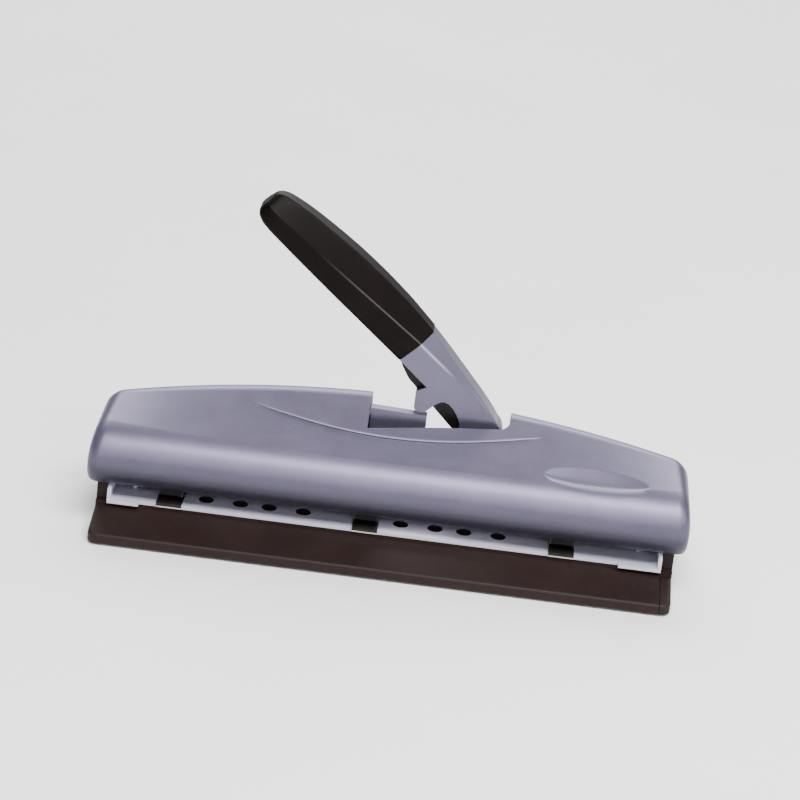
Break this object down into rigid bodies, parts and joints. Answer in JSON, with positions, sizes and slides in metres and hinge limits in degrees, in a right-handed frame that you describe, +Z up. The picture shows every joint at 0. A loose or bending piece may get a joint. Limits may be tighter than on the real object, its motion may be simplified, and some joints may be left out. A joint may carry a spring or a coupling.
{
  "type": "multi-hole punch",
  "caption": "Desk paper punch with a lever handle, sliding punch heads on a die plate, an arched silver cover and a black base with a chip drawer.",
  "frame": {"origin": "middle of the footprint, on the plane that the rubber feet stand on", "axes": "X to the right as seen from the front, Y to the back, Z up"},
  "size_m": [0.33, 0.1, 0.1881],
  "materials": {
    "black_plastic": "fine-grained black, slightly brown",
    "drawer_plastic": "fine-grained black",
    "rubber": "matt black",
    "bright_steel": "nickel plated, satin",
    "rod_steel": "ground",
    "screw_steel": "zinc plated",
    "clip_steel": "blued",
    "spring_steel": "drawn wire",
    "zinc_steel": "zinc plated",
    "black_plastic_part": "moulded",
    "silver_paint": "satin silver paint, fine metallic fleck",
    "cover_paint": "satin silver finish, fine metallic fleck",
    "black_paint": "satin black paint",
    "bush_plastic": "natural nylon",
    "grip_plastic": "soft-touch black",
    "head_plastic": "moulded black",
    "head_steel": "plated",
    "punch_steel": "polished tool steel",
    "cap_steel": "plated"
  },
  "bodies": {
    "frame": {"base_shell": "black_plastic", "base_floor": "black_plastic", "rubber_feet": "rubber", "die_frame": "bright_steel", "head_rail": "rod_steel", "frame_screws": "screw_steel", "guide_posts": "rod_steel", "post_clips": "clip_steel", "lift_springs": "spring_steel", "pivot_bracket": "zinc_steel", "rocker_bracket": "zinc_steel", "bracket_rivets": "screw_steel", "lever_pivot_pin": "rod_steel", "rocker_pin": "rod_steel", "rocker_clip": "clip_steel", "top_cover": "cover_paint", "cover_screws": "screw_steel"},
    "drawer": {"drawer_tray": "drawer_plastic", "drawer_floor": "drawer_plastic", "drawer_cap": "drawer_plastic"},
    "handle": {"lever_shroud": "silver_paint", "lever_arm": "black_paint", "lever_bushes": "bush_plastic", "lever_grip": "grip_plastic"},
    "rocker": {"rocker": "silver_paint", "rocker_foot_pin": "rod_steel"},
    "presser": {"presser_bar": "zinc_steel", "presser_saddle": "black_plastic_part"},
    "head_left": {"left_head_block": "head_plastic", "left_head_bracket": "head_steel", "left_lock_ring": "clip_steel", "left_pin_spring": "spring_steel"},
    "pin_left": {"left_punch_pin": "punch_steel", "left_spring_cap": "cap_steel"},
    "head_middle": {"middle_head_block": "head_plastic", "middle_head_bracket": "head_steel", "middle_lock_ring": "clip_steel", "middle_pin_spring": "spring_steel"},
    "pin_middle": {"middle_punch_pin": "punch_steel", "middle_spring_cap": "cap_steel"},
    "head_right": {"right_head_block": "head_plastic", "right_head_bracket": "head_steel", "right_lock_ring": "clip_steel", "right_pin_spring": "spring_steel"},
    "pin_right": {"right_punch_pin": "punch_steel", "right_spring_cap": "cap_steel"}
  },
  "joints": [
    {"name": "handle_hinge", "type": "hinge", "parent": "frame", "child": "handle", "pos_m": [0.0465, 0.025, 0.063], "axis": [0, -1, 0], "range_deg": [0, 25], "stiffness_Nm_per_rad": 0.35, "springref_deg": -57.3},
    {"name": "rocker_hinge", "type": "hinge", "parent": "frame", "child": "rocker", "pos_m": [-0.0235, 0.025, 0.0625], "axis": [0, 1, 0], "range_deg": [0, 30.59]},
    {"name": "presser_slide", "type": "slide", "parent": "frame", "child": "presser", "axis": [0, 0, -1], "range_m": [0, 0.00719], "deforming": ["lift_springs"]},
    {"name": "head_left_slide", "type": "slide", "parent": "frame", "child": "head_left", "axis": [1, 0, 0], "range_m": [0, 0.073]},
    {"name": "pin_left_slide", "type": "slide", "parent": "head_left", "child": "pin_left", "axis": [0, 0, -1], "range_m": [0, 0.00719], "deforming": ["left_pin_spring"]},
    {"name": "head_middle_slide", "type": "slide", "parent": "frame", "child": "head_middle", "axis": [1, 0, 0], "range_m": [0, 0.054]},
    {"name": "pin_middle_slide", "type": "slide", "parent": "head_middle", "child": "pin_middle", "axis": [0, 0, -1], "range_m": [0, 0.00719], "deforming": ["middle_pin_spring"]},
    {"name": "head_right_slide", "type": "slide", "parent": "frame", "child": "head_right", "axis": [1, 0, 0], "range_m": [-0.035, 0]},
    {"name": "pin_right_slide", "type": "slide", "parent": "head_right", "child": "pin_right", "axis": [0, 0, -1], "range_m": [0, 0.00719], "deforming": ["right_pin_spring"]},
    {"name": "drawer_slide", "type": "slide", "parent": "frame", "child": "drawer", "axis": [1, 0, 0], "range_m": [0, 0.15]}
  ],
  "couplings": [
    {"joint": "rocker_hinge", "follows": "handle_hinge", "ratio": 1.2232},
    {"joint": "presser_slide", "follows": "handle_hinge", "m_per_rad": 0.016469},
    {"joint": "pin_left_slide", "follows": "handle_hinge", "m_per_rad": 0.016469},
    {"joint": "pin_middle_slide", "follows": "handle_hinge", "m_per_rad": 0.016469},
    {"joint": "pin_right_slide", "follows": "handle_hinge", "m_per_rad": 0.016469}
  ]
}
